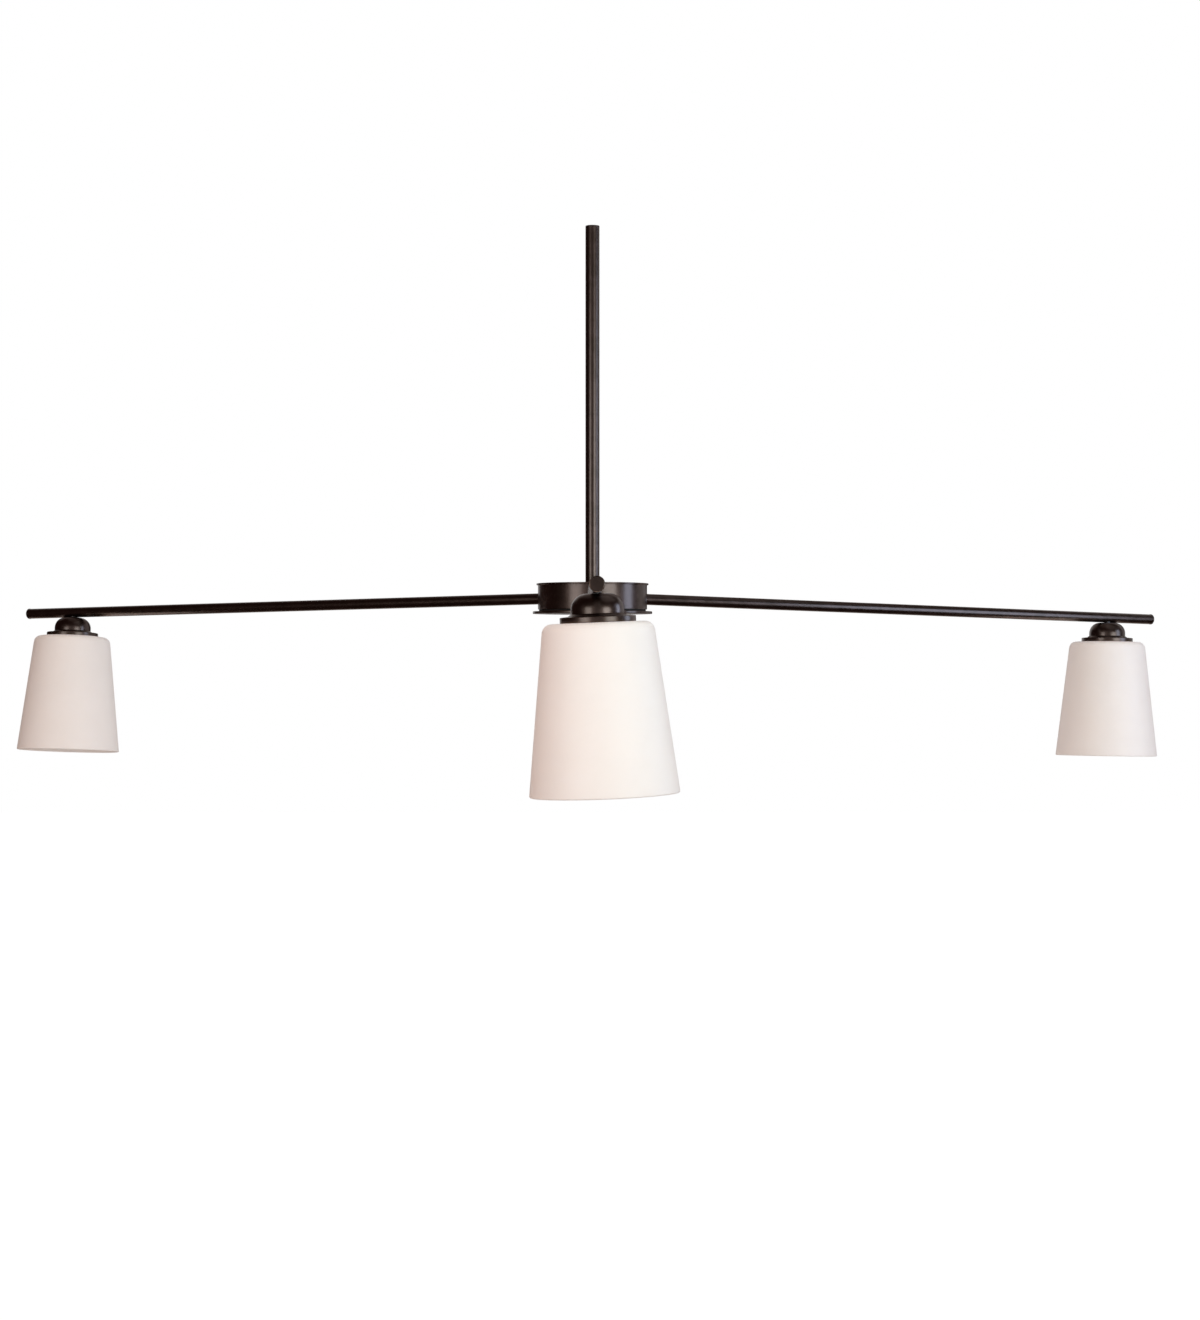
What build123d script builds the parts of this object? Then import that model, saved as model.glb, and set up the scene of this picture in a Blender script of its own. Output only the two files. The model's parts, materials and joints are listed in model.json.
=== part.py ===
from build123d import *
import math
import os

# A three-arm chandelier. A tube stem carries a drum hub, three tube arms leave the drum, and under each
# arm hang a domed cup, a brim plate, a lampholder with its bulb, and a glass shade that opens downwards.
# Millimetres, +Z up. The origin is the middle of the stem's top end, and the front arm points along -Y.

# Clearances
THREAD_GAP = 0.05
HOLE_GAP = 0.3
SEAT_GAP = 0.3

# Stem tube and the couplings pressed into its two ends
STEM_LENGTH = 404.4
STEM_DIA = 15.9
STEM_WALL = 1.6
COUPLING_LENGTH = 22.0
CEILING_WALL = 1.8
COUPLING_WALL = 1.25
STEM_EDGE = 0.4

# Hollow threaded rod that clamps the hub together
ROD_WALL = 1.5
ROD_IN_STEM = 18.0
ROD_NUT_RIM = 3.0
NUT_THICK = 4.0
ROD_WASHER_RIM = 4.5
WASHER_THICK = 1.2

# Hub: top plate, drum and the cover under it
HUB_PLATE_LIP = 1.65
HUB_PLATE_THICK = 1.9
DRUM_DIA = 123.4
DRUM_WALL = 2.0
DRUM_HEIGHT = 27.4
SHADOW_GAP = 1.9
COVER_LIP = 5.8
COVER_THICK = 3.1
COVER_LEDGE = 0.7
SPIGOT_HEIGHT = 2.0
SPIGOT_WALL = 1.5
PLATE_EDGE = 0.5
CAP_NUT_RIM = 4.5
CAP_NUT_END = 3.7
CAP_NUT_ROUND = 6.5
CAP_THREAD = 6.0

# Terminal block and the leads
BLOCK_WIDTH = 17.0
BLOCK_BELOW_ARM = 5.0
LEAD_DIA = 2.6
LEAD_BEND = 4.0
LEAD_IN_BLOCK = 8.0
LEAD_PORT_GAP = 0.2
SUPPLY_DIA = 4.0

# Arms. The lamp axis stands at ARM_REACH from the stem axis.
ARM_REACH = 762.0
ARM_OVERHANG = 74.0
ARM_TUBE_DIA = 12.7
ARM_TUBE_WALL = 1.3
ARM_ROOT_GAP = 0.4
END_CAP_THICK = 1.6
END_CAP_SPIGOT = 6.0
END_CAP_EDGE = 0.5
NIPPLE_WALL = 1.6
NIPPLE_IN_ARM = 16.0
NIPPLE_PROUD = 2.0
ARM_NUT_RIM = 1.5
ARM_WASHER_RIM = 2.25
TIP_BLOCK_LENGTH = 30.0
TIP_BLOCK_ROOM = 1.7

# How each arm hangs, in degrees: its bearing from +X, its droop, and its roll about its own axis
ARM_HANG = {
    "front": (-90.0, 0.62, 2.28),
    "left": (150.0, 0.78, 4.24),
    "right": (30.0, 1.26, -0.67),
}

# Cup under each arm: threaded nipple, lock nut, dome and brim plate
CUP_GAP = 0.3
CUP_NIPPLE_INSET = 1.05
CUP_NIPPLE_WALL = 1.25
CUP_NIPPLE_TOP = 2.2
CUP_NIPPLE_IN_HOLDER = 7.0
CUP_NUT_RIM = 2.0
CUP_NUT_THICK = 4.4
DOME_HEIGHT = 17.1
DOME_SHOULDER = 13.4
DOME_WALL = 1.2
BRIM_WIDTH = 9.5
BRIM_COVE = 1.7
BRIM_COVE_WIDTH = 2.2
BRIM_FALL = 0.7
BRIM_RIM = 5.0
BRIM_WALL = 1.5
BRIM_EDGE = 0.7

# Lampholder with its screw shell and centre contact
HOLDER_WALL = 5.4
HOLDER_INSET = 2.0
HOLDER_SIDE_GAP = 2.0
HOLDER_LIP = 4.0
HOLDER_LIP_WALL = 3.4
CHAMBER_HEIGHT = 3.0
CONTACT_DIA = 15.6
CONTACT_THICK = 1.0
CONTACT_BUTTON_DIA = 7.0
CONTACT_RISE = 2.5
SHELL_LENGTH = 30.0
SHELL_WALL = 0.5

# Glass shade and the ring that holds it up against the brim
SHADE_HEIGHT = 145.0
SHADE_TOP_DIA = 93.6
SHADE_MOUTH_DIA = 127.7
SHADE_WALL = 3.6
SHADE_SHOULDER = 8.5
SHADE_LIP = 1.2
SHADE_HOLE_GAP = 1.1
RING_BEARING = 6.4
RING_FLANGE = 2.2
RING_HEIGHT = 8.3
RING_WALL = 3.4

# Bulb: screw cap and glass globe
BULB_DIA = 60.0
BULB_LENGTH = 107.0
BULB_CAP_DIA = 26.3
BULB_CAP_LENGTH = 25.0
BULB_TIP_DIA = 9.6
BULB_TIP_HEIGHT = 1.2
BULB_CONE_HEIGHT = 4.0
BULB_NECK_INSET = 0.15
BULB_NECK_LENGTH = 9.0
BULB_WALL = 1.0

# Radii of the stem and rod
stem_radius = STEM_DIA / 2
stem_bore = stem_radius - STEM_WALL
coupling_radius = stem_bore - THREAD_GAP
ceiling_bore = coupling_radius - CEILING_WALL
rod_hole = coupling_radius - COUPLING_WALL
rod_radius = rod_hole - THREAD_GAP
rod_bore = rod_radius - ROD_WALL

# Depths of the hub below the stem's top end
plate_top = STEM_LENGTH
plate_base = plate_top + HUB_PLATE_THICK
arm_depth = plate_base + DRUM_HEIGHT / 2
drum_base = plate_base + DRUM_HEIGHT
ledge_top = drum_base + SEAT_GAP
cover_top = drum_base + SHADOW_GAP
cover_base = cover_top + COVER_THICK
rod_nut_top = plate_base + WASHER_THICK
block_top = rod_nut_top + NUT_THICK
block_base = arm_depth + BLOCK_BELOW_ARM
rod_base = cover_base + CAP_THREAD

# Radii of the hub
drum_radius = DRUM_DIA / 2
drum_bore = drum_radius - DRUM_WALL
plate_radius = drum_radius + HUB_PLATE_LIP
cover_radius = drum_radius + COVER_LIP
spigot_radius = drum_bore - HOLE_GAP
block_radius = rod_radius + BLOCK_WIDTH
lead_radius = LEAD_DIA / 2
supply_radius = SUPPLY_DIA / 2

# Arm sizes, with distances measured out from the stem axis
tube_radius = ARM_TUBE_DIA / 2
tube_bore = tube_radius - ARM_TUBE_WALL
tube_start = drum_radius + ARM_ROOT_GAP
tube_end = ARM_REACH + ARM_OVERHANG - END_CAP_THICK
nipple_radius = tube_bore - THREAD_GAP
nipple_bore = nipple_radius - NIPPLE_WALL
washer_radius = nipple_radius + ARM_WASHER_RIM
washer_face = math.sqrt(drum_bore**2 - washer_radius**2) - HOLE_GAP
arm_nut_face = washer_face - WASHER_THICK
nipple_start = arm_nut_face - NUT_THICK - NIPPLE_PROUD
lead_start = block_radius - LEAD_IN_BLOCK

# Depths of the lamp below the arm axis
dome_top = tube_radius + CUP_GAP
dome_base = dome_top + DOME_HEIGHT
brim_cove_base = dome_base + BRIM_COVE
brim_rim_top = brim_cove_base + BRIM_FALL
brim_base = brim_rim_top + BRIM_RIM
shade_ceiling = brim_base + SHADE_WALL
shade_mouth = brim_base + SHADE_HEIGHT
cup_nut_top = dome_top + DOME_WALL
holder_top = cup_nut_top + CUP_NUT_THICK + SEAT_GAP
skirt_top = dome_base + SEAT_GAP
cup_nipple_end = holder_top + CUP_NIPPLE_IN_HOLDER
contact_top = cup_nipple_end + CHAMBER_HEIGHT
socket_ceiling = contact_top + CONTACT_THICK
contact_tip = socket_ceiling + CONTACT_RISE
shell_base = socket_ceiling + SHELL_LENGTH
holder_base = shell_base + HOLDER_LIP
bulb_tip = contact_tip + SEAT_GAP
bulb_cap_base = bulb_tip + BULB_CAP_LENGTH
bulb_base = bulb_tip + BULB_LENGTH

# Radii of the lamp, from the bulb's cap outwards
bulb_cap_radius = BULB_CAP_DIA / 2
shell_bore = bulb_cap_radius + HOLE_GAP
shell_radius = shell_bore + SHELL_WALL
socket_radius = shell_radius + THREAD_GAP
holder_radius = socket_radius + HOLDER_WALL
dome_inside = holder_radius + HOLDER_INSET
dome_radius = dome_inside + DOME_WALL
brim_radius = dome_radius + BRIM_WIDTH
shade_hole = holder_radius + SHADE_HOLE_GAP
ring_bore = holder_radius + THREAD_GAP
ring_radius = shade_hole + RING_BEARING
cup_nipple_radius = tube_bore - CUP_NIPPLE_INSET
cup_nipple_bore = cup_nipple_radius - CUP_NIPPLE_WALL
cup_nipple_hole = cup_nipple_radius + THREAD_GAP
dome_shoulder = min(DOME_SHOULDER, DOME_HEIGHT - DOME_WALL, dome_radius - cup_nipple_hole - DOME_WALL)


def turned(corners, rounds=None):
    """Solid turned about Z from corners of radius and depth, with the corner roundings in rounds."""
    points = [(radius, 0, -depth) for radius, depth in corners]
    if rounds is None:
        outline = Polyline(*points, close=True)
    else:
        outline = FilletPolyline(*points, radius=rounds, close=True)
    return revolve(make_face(outline), Axis.Z)


def sleeve(top, base, outer, inner):
    """Upright pipe between two depths."""
    return turned([(inner, top), (outer, top), (outer, base), (inner, base)])


def pipe(start, end, outer, inner=0.0):
    """Pipe, or a bar where it has no bore, along the arm's axis."""
    section = Circle(outer)
    if inner > 0:
        section -= Circle(inner)
    return extrude(Plane.YZ.offset(start) * section, end - start)


def hex_nut(plane, bore, rim, thick):
    """Hexagonal nut that stands on a plane."""
    section = RegularPolygon(bore + rim, 6, major_radius=False) - Circle(bore)
    return extrude(plane * section, thick)


def swept_lead(points, radius, bend):
    """Round lead along straight runs joined by one bend."""
    path = FilletPolyline(*points, radius=bend)
    return sweep(Plane(path @ 0, z_dir=path % 0) * Circle(radius), path)


def dome_inside_radius(depth):
    """Inner radius of the dome at a depth below the arm axis."""
    shoulder_base = dome_top + dome_shoulder
    if depth >= shoulder_base:
        return dome_inside
    inner_round = dome_shoulder - DOME_WALL
    return dome_radius - dome_shoulder + math.sqrt(inner_round**2 - (shoulder_base - depth) ** 2)


def arm_line(name):
    """Place of an arm's axis, with the arm running out along its own X."""
    bearing, droop, _ = ARM_HANG[name]
    return Pos(0, 0, -arm_depth) * Rot(0, 0, bearing) * Rot(0, droop, 0)


def arm_place(name):
    """Place of an arm and its lamp, rolled about the arm's axis as it hangs."""
    _, _, roll = ARM_HANG[name]
    return arm_line(name) * Rot(roll, 0, 0)


# Stem and hub
def stem_tube():
    """Stem tube with a chamfered top edge."""
    tube = sleeve(0, STEM_LENGTH, stem_radius, stem_bore)
    return chamfer(tube.edges().group_by(Axis.Z)[-1].sort_by(SortBy.RADIUS)[-1], STEM_EDGE)


def stem_couplings():
    """Threaded couplings flush with the stem's top and bottom ends."""
    upper = sleeve(0, COUPLING_LENGTH, coupling_radius, ceiling_bore)
    lower = sleeve(STEM_LENGTH - COUPLING_LENGTH, STEM_LENGTH, coupling_radius, rod_hole)
    return upper, lower


def hub_rod():
    """Hollow rod with a window where the supply lead turns out into the terminal block."""
    rod = sleeve(STEM_LENGTH - ROD_IN_STEM, rod_base, rod_radius, rod_bore)
    window_half = supply_radius + HOLE_GAP
    window_height = LEAD_BEND + 2 * window_half
    window = Box(2 * window_half, rod_radius, window_height, align=(Align.CENTER, Align.MIN, Align.MIN))
    return rod - Pos(0, rod_bore / 2, -arm_depth - window_half) * window


def hub_top_plate():
    """Round plate under the stem, a little wider than the drum."""
    hole = rod_radius + HOLE_GAP
    corners = [(hole, plate_top), (plate_radius, plate_top), (plate_radius, plate_base), (hole, plate_base)]
    return turned(corners, [0, PLATE_EDGE, PLATE_EDGE, 0])


def hub_drum():
    """Drum wall with a round hole on each arm's axis."""
    drum = sleeve(plate_base, drum_base, drum_radius, drum_bore)
    for name in ARM_HANG:
        drum -= arm_line(name) * pipe(rod_radius, plate_radius, nipple_radius + HOLE_GAP / 2)
    return drum


def hub_washer():
    """Washer under the top plate."""
    return sleeve(plate_base, rod_nut_top, rod_radius + ROD_WASHER_RIM, rod_radius + HOLE_GAP)


def hub_lock_nut():
    """Nut that clamps the top plate against the stem's end."""
    return hex_nut(Plane.XY.offset(-block_top), rod_hole, ROD_NUT_RIM, NUT_THICK)


def terminal_block():
    """Round block on the rod, with a port for each arm's lead and one for the supply lead."""
    block = sleeve(block_top, block_base, block_radius, rod_hole)
    for name in ARM_HANG:
        block -= arm_line(name) * pipe(lead_start, drum_radius, lead_radius + LEAD_PORT_GAP)
    supply_port = pipe(rod_bore, lead_start, supply_radius + LEAD_PORT_GAP)
    return block - Pos(0, 0, -arm_depth) * Rot(0, 0, 90) * supply_port


def supply_lead():
    """Lead from below the stem's top coupling, down the rod and out through its window."""
    start = (0, 0, -COUPLING_LENGTH - SEAT_GAP)
    end = (0, lead_start - LEAD_PORT_GAP, -arm_depth)
    return swept_lead([start, (0, 0, -arm_depth), end], supply_radius, LEAD_BEND)


def hub_cover():
    """Cover plate with a ledge that keeps the shadow line open and a spigot inside the drum."""
    hole = rod_radius + HOLE_GAP
    ledge_radius = drum_bore + COVER_LEDGE
    spigot_top = drum_base - SPIGOT_HEIGHT
    spigot_bore = spigot_radius - SPIGOT_WALL
    corners = [(hole, cover_top), (spigot_bore, cover_top), (spigot_bore, spigot_top)]
    corners += [(spigot_radius, spigot_top), (spigot_radius, ledge_top), (ledge_radius, ledge_top)]
    corners += [(ledge_radius, cover_top), (cover_radius, cover_top), (cover_radius, cover_base)]
    corners += [(hole, cover_base)]
    return turned(corners, [0, 0, 0, 0, 0, 0, 0, PLATE_EDGE, PLATE_EDGE, 0])


def hub_cap_nut():
    """Domed nut that holds the cover up on the end of the rod."""
    nut_radius = rod_hole + CAP_NUT_RIM
    bore_end = rod_base + SEAT_GAP
    nut_base = bore_end + CAP_NUT_END
    dome_round = min(CAP_NUT_ROUND, nut_radius - PLATE_EDGE, nut_base - cover_base - 2 * PLATE_EDGE)
    corners = [(rod_hole, cover_base), (nut_radius, cover_base), (nut_radius, nut_base)]
    corners += [(0, nut_base), (0, bore_end), (rod_hole, bore_end)]
    return turned(corners, [0, PLATE_EDGE, dome_round, 0, 0, 0])


# Fastenings of the arms in the drum wall
def arm_nipple():
    """Threaded pipe through the drum wall into the arm's root."""
    return pipe(nipple_start, tube_start + NIPPLE_IN_ARM, nipple_radius, nipple_bore)


def arm_washer():
    """Washer against the inside of the drum wall."""
    return pipe(arm_nut_face, washer_face, washer_radius, nipple_radius + THREAD_GAP)


def arm_lock_nut():
    """Nut on the inner end of an arm's nipple."""
    return hex_nut(Plane.YZ.offset(arm_nut_face - NUT_THICK), tube_bore, ARM_NUT_RIM, NUT_THICK)


# Arm
def arm_tube():
    """Arm tube with the hole under it for the cup's nipple."""
    tube = pipe(tube_start, tube_end, tube_radius, tube_bore)
    return tube - Pos(ARM_REACH, 0, 0) * sleeve(0, dome_top, cup_nipple_hole, 0)


def arm_end_cap():
    """Flat cap with a chamfered rim and a spigot inside the tube."""
    cap = pipe(tube_end, tube_end + END_CAP_THICK, tube_radius)
    cap = chamfer(cap.edges().group_by(Axis.X)[-1], END_CAP_EDGE)
    return cap + pipe(tube_end - END_CAP_SPIGOT, tube_end, nipple_radius)


def arm_tip_block():
    """Plug inside the tube that the cup's nipple screws into, bored for the lead."""
    half = TIP_BLOCK_LENGTH / 2
    block = pipe(ARM_REACH - half, ARM_REACH + half, nipple_radius)
    block -= Pos(ARM_REACH, 0, 0) * sleeve(0, dome_top, cup_nipple_hole, 0)
    return block - pipe(ARM_REACH - half, ARM_REACH + lead_radius, lead_radius + TIP_BLOCK_ROOM)


def lead_wire():
    """Lead along the arm's axis from the terminal block, turned down into the lampholder."""
    points = [(lead_start + LEAD_PORT_GAP, 0, 0), (ARM_REACH, 0, 0)]
    points += [(ARM_REACH, 0, SEAT_GAP - contact_top)]
    return swept_lead(points, lead_radius, LEAD_BEND)


# Lamp, about its own axis with the arm's axis at depth 0
def cup_nipple():
    """Threaded pipe from the arm's tip block into the lampholder."""
    return sleeve(CUP_NIPPLE_TOP, cup_nipple_end, cup_nipple_radius, cup_nipple_bore)


def cup_lock_nut():
    """Nut that clamps the dome's top."""
    plane = Plane.XY.offset(-cup_nut_top - CUP_NUT_THICK)
    return hex_nut(plane, cup_nipple_hole, CUP_NUT_RIM, CUP_NUT_THICK)


def cup_dome():
    """Flat-topped bell with a deep round shoulder."""
    inner_round = dome_shoulder - DOME_WALL
    corners = [(cup_nipple_hole, dome_top), (dome_radius, dome_top), (dome_radius, dome_base)]
    corners += [(dome_inside, dome_base), (dome_inside, cup_nut_top), (cup_nipple_hole, cup_nut_top)]
    return turned(corners, [0, dome_shoulder, 0, 0, inner_round, 0])


def brim_plate():
    """Brim that carries the dome, with a cove round the dome's foot and a turned-down rim."""
    hole = holder_radius + 2 * HOLE_GAP
    seat_edge = dome_radius + HOLE_GAP
    cove_edge = seat_edge + BRIM_COVE_WIDTH
    rim_bore = brim_radius - BRIM_WALL
    corners = [(hole, dome_base), (seat_edge, dome_base), (cove_edge, brim_cove_base)]
    corners += [(brim_radius, brim_rim_top), (brim_radius, brim_base), (rim_bore, brim_base)]
    corners += [(rim_bore, brim_rim_top + BRIM_WALL), (cove_edge, brim_cove_base + BRIM_WALL)]
    corners += [(hole, brim_cove_base + BRIM_WALL)]
    return turned(corners, [0, 0, BRIM_EDGE, BRIM_EDGE, 0, 0, 0, 0, 0])


def lampholder_body():
    """Moulded holder: threaded entry at the top, contact recess, and the socket for the screw shell."""
    neck = dome_inside_radius(holder_top) - HOLDER_SIDE_GAP
    recess = CONTACT_DIA / 2 + LEAD_PORT_GAP
    mouth = holder_radius - HOLDER_LIP_WALL
    corners = [(cup_nipple_hole, holder_top), (neck, holder_top), (neck, skirt_top)]
    corners += [(holder_radius, skirt_top), (holder_radius, holder_base), (mouth, holder_base)]
    corners += [(mouth, shell_base), (socket_radius, shell_base), (socket_radius, socket_ceiling)]
    corners += [(recess, socket_ceiling), (recess, cup_nipple_end), (cup_nipple_hole, cup_nipple_end)]
    return turned(corners)


def lampholder_shell():
    """Screw shell inside the lampholder."""
    return sleeve(socket_ceiling, shell_base, shell_radius, shell_bore)


def lampholder_contact():
    """Centre contact: a disc in the holder's recess with a button under it."""
    disc = CONTACT_DIA / 2
    button = CONTACT_BUTTON_DIA / 2
    corners = [(0, contact_top), (disc, contact_top), (disc, socket_ceiling)]
    corners += [(button, socket_ceiling), (button, contact_tip), (0, contact_tip)]
    return turned(corners)


def glass_shade():
    """Tapered shade with a hole in its flat top, a round shoulder and an open mouth."""
    top = SHADE_TOP_DIA / 2
    mouth = SHADE_MOUTH_DIA / 2
    inner_top = top + (mouth - top) * SHADE_WALL / SHADE_HEIGHT - SHADE_WALL
    inner_round = max(SHADE_SHOULDER - SHADE_WALL, SHADE_LIP)
    lip = min(SHADE_LIP, SHADE_WALL / 3)
    corners = [(shade_hole, brim_base), (top, brim_base), (mouth, shade_mouth)]
    corners += [(mouth - SHADE_WALL, shade_mouth), (inner_top, shade_ceiling), (shade_hole, shade_ceiling)]
    return turned(corners, [0, SHADE_SHOULDER, lip, lip, inner_round, 0])


def shade_ring():
    """Ring screwed up the lampholder under the shade's top."""
    flange_base = shade_ceiling + RING_FLANGE
    ring_base = shade_ceiling + RING_HEIGHT
    collar = ring_bore + RING_WALL
    corners = [(ring_bore, shade_ceiling), (ring_radius, shade_ceiling), (ring_radius, flange_base)]
    corners += [(collar, flange_base), (collar, ring_base), (ring_bore, ring_base)]
    return turned(corners)


def bulb_cap():
    """Screw cap with its centre tip and the insulator cone above the thread."""
    tip = BULB_TIP_DIA / 2
    tip_base = bulb_tip + BULB_TIP_HEIGHT
    cone_base = tip_base + BULB_CONE_HEIGHT
    corners = [(0, bulb_tip), (tip, bulb_tip), (tip, tip_base), (bulb_cap_radius, cone_base)]
    corners += [(bulb_cap_radius, bulb_cap_base), (0, bulb_cap_base)]
    return turned(corners)


def bulb_outline(globe_radius, neck_radius):
    """Solid bulb: a neck, a flare tangent to the globe, and the globe."""
    globe_depth = bulb_base - BULB_DIA / 2
    flare_depth = bulb_cap_base + BULB_NECK_LENGTH
    reach = math.hypot(neck_radius, globe_depth - flare_depth)
    turn = math.asin(globe_radius / reach) - math.atan2(neck_radius, globe_depth - flare_depth)
    run = math.sqrt(reach**2 - globe_radius**2)
    touch = (neck_radius + run * math.sin(turn), 0, -flare_depth - run * math.cos(turn))
    bottom = (0, 0, -globe_depth - globe_radius)
    top = (0, 0, -bulb_cap_base)
    side = Polyline(top, (neck_radius, 0, -bulb_cap_base), (neck_radius, 0, -flare_depth), touch)
    globe = TangentArc(touch, bottom, tangent=side % 1)
    axis = Line(bottom, top)
    return revolve(make_face(side + globe + axis), Axis.Z)


def bulb_globe():
    """Thin glass globe, open at its neck where the cap closes it."""
    neck_radius = bulb_cap_radius - BULB_NECK_INSET
    outer = bulb_outline(BULB_DIA / 2, neck_radius)
    return outer - bulb_outline(BULB_DIA / 2 - BULB_WALL, neck_radius - BULB_WALL)


def save(name, *solids):
    """Write one named node, made of one solid or a group of like solids."""
    shape = solids[0] if len(solids) == 1 else Compound(children=list(solids))
    export_step(shape, f"parts/{name}.step")


def save_hub():
    """Write the stem, the hub and what fastens the arms to it."""
    upper_coupling, lower_coupling = stem_couplings()
    save("stem_tube", stem_tube())
    save("stem_top_coupling", upper_coupling)
    save("stem_bottom_coupling", lower_coupling)
    save("hub_rod", hub_rod())
    save("hub_top_plate", hub_top_plate())
    save("hub_drum", hub_drum())
    save("hub_washer", hub_washer())
    save("hub_lock_nut", hub_lock_nut())
    save("terminal_block", terminal_block())
    save("supply_lead", supply_lead())
    save("hub_cover", hub_cover())
    save("hub_cap_nut", hub_cap_nut())
    fastenings = {"arm_nipples": arm_nipple(), "arm_washers": arm_washer(), "arm_lock_nuts": arm_lock_nut()}
    for node, piece in fastenings.items():
        save(node, *[arm_line(name) * piece for name in ARM_HANG])


def save_arms():
    """Write each arm with its lamp, placed as it hangs."""
    arm_pieces = {
        "arm_tube": arm_tube(),
        "arm_end_cap": arm_end_cap(),
        "arm_tip_block": arm_tip_block(),
        "lead_wire": lead_wire(),
    }
    lamp_pieces = {
        "cup_nipple": cup_nipple(),
        "cup_lock_nut": cup_lock_nut(),
        "cup_dome": cup_dome(),
        "brim_plate": brim_plate(),
        "lampholder_body": lampholder_body(),
        "lampholder_shell": lampholder_shell(),
        "lampholder_contact": lampholder_contact(),
        "glass_shade": glass_shade(),
        "shade_ring": shade_ring(),
        "bulb_cap": bulb_cap(),
        "bulb_globe": bulb_globe(),
    }
    for name in ARM_HANG:
        place = arm_place(name)
        for node, piece in arm_pieces.items():
            save(f"{node}_{name}", place * piece)
        for node, piece in lamp_pieces.items():
            save(f"{node}_{name}", place * Pos(ARM_REACH, 0, 0) * piece)


os.makedirs("parts", exist_ok=True)
save_hub()
save_arms()
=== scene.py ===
import json
import logging
import math
from dataclasses import dataclass, field
from enum import Enum
from functools import cache
from typing import Sequence

import bpy
from mathutils import Matrix, Vector, kdtree


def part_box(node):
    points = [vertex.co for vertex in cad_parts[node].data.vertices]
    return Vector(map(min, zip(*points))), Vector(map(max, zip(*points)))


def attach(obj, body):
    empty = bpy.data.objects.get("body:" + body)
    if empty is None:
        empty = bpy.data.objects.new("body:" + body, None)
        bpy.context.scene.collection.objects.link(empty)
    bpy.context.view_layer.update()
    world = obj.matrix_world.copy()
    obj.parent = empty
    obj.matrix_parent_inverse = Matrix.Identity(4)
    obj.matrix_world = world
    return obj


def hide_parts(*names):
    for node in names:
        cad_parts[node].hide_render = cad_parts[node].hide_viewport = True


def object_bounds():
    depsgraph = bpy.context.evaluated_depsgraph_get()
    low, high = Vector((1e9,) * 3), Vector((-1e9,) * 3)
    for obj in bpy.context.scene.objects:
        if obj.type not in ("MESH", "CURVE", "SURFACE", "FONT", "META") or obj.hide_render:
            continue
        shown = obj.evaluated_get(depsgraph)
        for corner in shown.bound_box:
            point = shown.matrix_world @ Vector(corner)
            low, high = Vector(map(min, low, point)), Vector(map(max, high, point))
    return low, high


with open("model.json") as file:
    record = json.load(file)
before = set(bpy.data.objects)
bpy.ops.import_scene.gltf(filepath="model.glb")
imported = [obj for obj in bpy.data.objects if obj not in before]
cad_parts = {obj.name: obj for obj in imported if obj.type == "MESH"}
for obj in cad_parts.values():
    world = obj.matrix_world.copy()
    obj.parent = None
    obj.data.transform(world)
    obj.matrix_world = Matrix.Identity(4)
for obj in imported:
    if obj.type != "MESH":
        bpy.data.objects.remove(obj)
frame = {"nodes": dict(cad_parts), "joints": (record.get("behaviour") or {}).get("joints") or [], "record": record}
CAD_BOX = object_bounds()

# The looks of a three-arm chandelier: bronze stem, drum hub and tube arms, with an opal glass shade on each.
# Sizes of pieces are in millimetres, and MM turns them into Blender's metres. A lamp's heights are measured
# up from its arm's axis, so most of them are below zero.
MM = 0.001
LOG = logging.getLogger("chandelier")

# Points closer than this are merged, edges flatter than this are smooth, arcs take steps of this turn, and
# drills have this many sides.
MERGE_DISTANCE = 0.002
SMOOTH_ANGLE = math.radians(32.0)
ROUND_STEP = math.radians(9.0)
DRILL_STEPS = 48
# A face this near to a wall's radius lies on the wall, and a ribbed wall has this many steps to a rib.
WALL_TOLERANCE = 0.3
STEPS_PER_RIB = 4
# The attribute that says how far handling has rubbed an edge, and the largest rounding that shows it.
RUB = "rub"
RUBBED_ROUND = 1.0
# Patches and grain are noise: its finer layers, and the values that count as its lowest and highest.
PATCH_LAYERS = {"Detail": 4.0, "Roughness": 0.6}
PATCH_RANGE = {"From Min": 0.34, "From Max": 0.66}
GRAIN_LAYERS = {"Detail": 3.0, "Roughness": 0.5}
GRAIN_RANGE = {"From Min": 0.3, "From Max": 0.7}
# How much the grain adds to the patches' tone.
GRAIN_SHARE = 0.5
# How far red, green and blue light go under a surface, as shares of the finish's reach.
SCATTER_SHARES = (1.0, 0.92, 0.85)
# Sockets of a Mix node for colours, by number, because their names repeat.
MIX_SHARE = 0
MIX_FROM = 6
MIX_TO = 7
MIX_RESULT = 2


class Arm(Enum):
    """The three arms, by where they point as the viewer sees them."""

    FRONT = "front"
    LEFT = "left"
    RIGHT = "right"


class Spindle(Enum):
    """Axis that an outline is turned about, in the piece's own axes."""

    UPRIGHT = (0.0, 0.0, 1.0)
    ALONG_ARM = (1.0, 0.0, 0.0)


class Slot(Enum):
    """Material slots of the record."""

    BRONZE = "bronze"
    OPAL_GLASS = "opal_glass"
    BULB_GLASS = "bulb_glass"
    BULB_CAP = "bulb_cap"
    HOLDER = "holder_moulding"
    RING = "ring_moulding"
    BRASS = "brass"
    TERMINAL = "terminal_moulding"
    LEAD = "lead_sheath"
    ZINC = "zinc_steel"


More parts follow.
